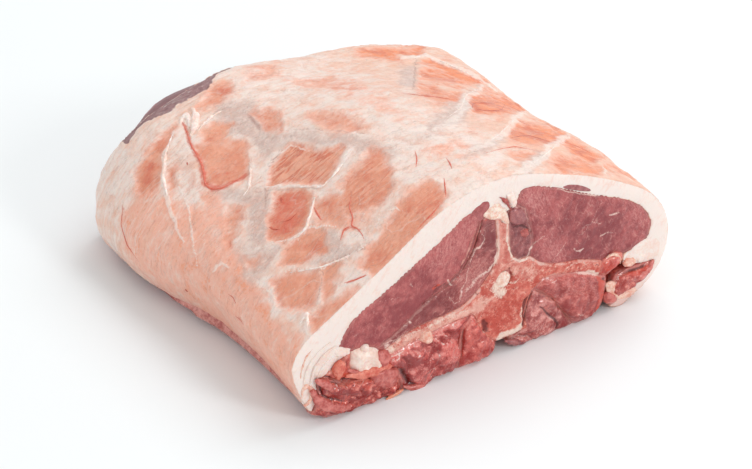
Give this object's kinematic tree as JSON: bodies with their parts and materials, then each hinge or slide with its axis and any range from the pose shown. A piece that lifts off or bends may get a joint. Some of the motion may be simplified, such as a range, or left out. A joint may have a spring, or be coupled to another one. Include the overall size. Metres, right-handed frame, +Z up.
{
  "type": "raw saddle of lamb",
  "caption": "Raw bone-in saddle of lamb: an arched fat cover over both loins and the backbone, sawn across to show lean, bone, tenderloins and flank.",
  "frame": {"origin": "middle of the footprint, on the surface that the saddle rests on", "axes": "+Z up, +Y along the spine away from the sawn cut face that shows every muscle, +X across the back"},
  "size_m": [0.1922, 0.172, 0.0805],
  "materials": {
    "fat": "moist fat and membrane with salmon patches",
    "lean": "moist cut lean, fine grained",
    "lean_dark": "moist cut lean, darker",
    "lean_red": "moist cut lean, coarse and red",
    "lean_bright": "moist cut lean, bright red",
    "bone": "sawn red bone with pale rims",
    "cord": "moist and pale"
  },
  "bodies": {
    "root": {"fat_cover": "fat", "seam_fat_left": "fat", "loin_left": "lean", "loin_right": "lean", "deep_muscle_left": "lean_dark", "deep_muscle_right": "lean_dark", "psoas_right": "lean_dark", "tenderloin_left": "lean_red", "tenderloin_right": "lean_red", "undercut_left": "lean_red", "flank_left": "lean_red", "flank_right": "lean_red", "curl_left": "lean_bright", "curl_right": "lean_bright", "backbone": "bone", "spinal_cord": "cord"}
  },
  "joints": []
}
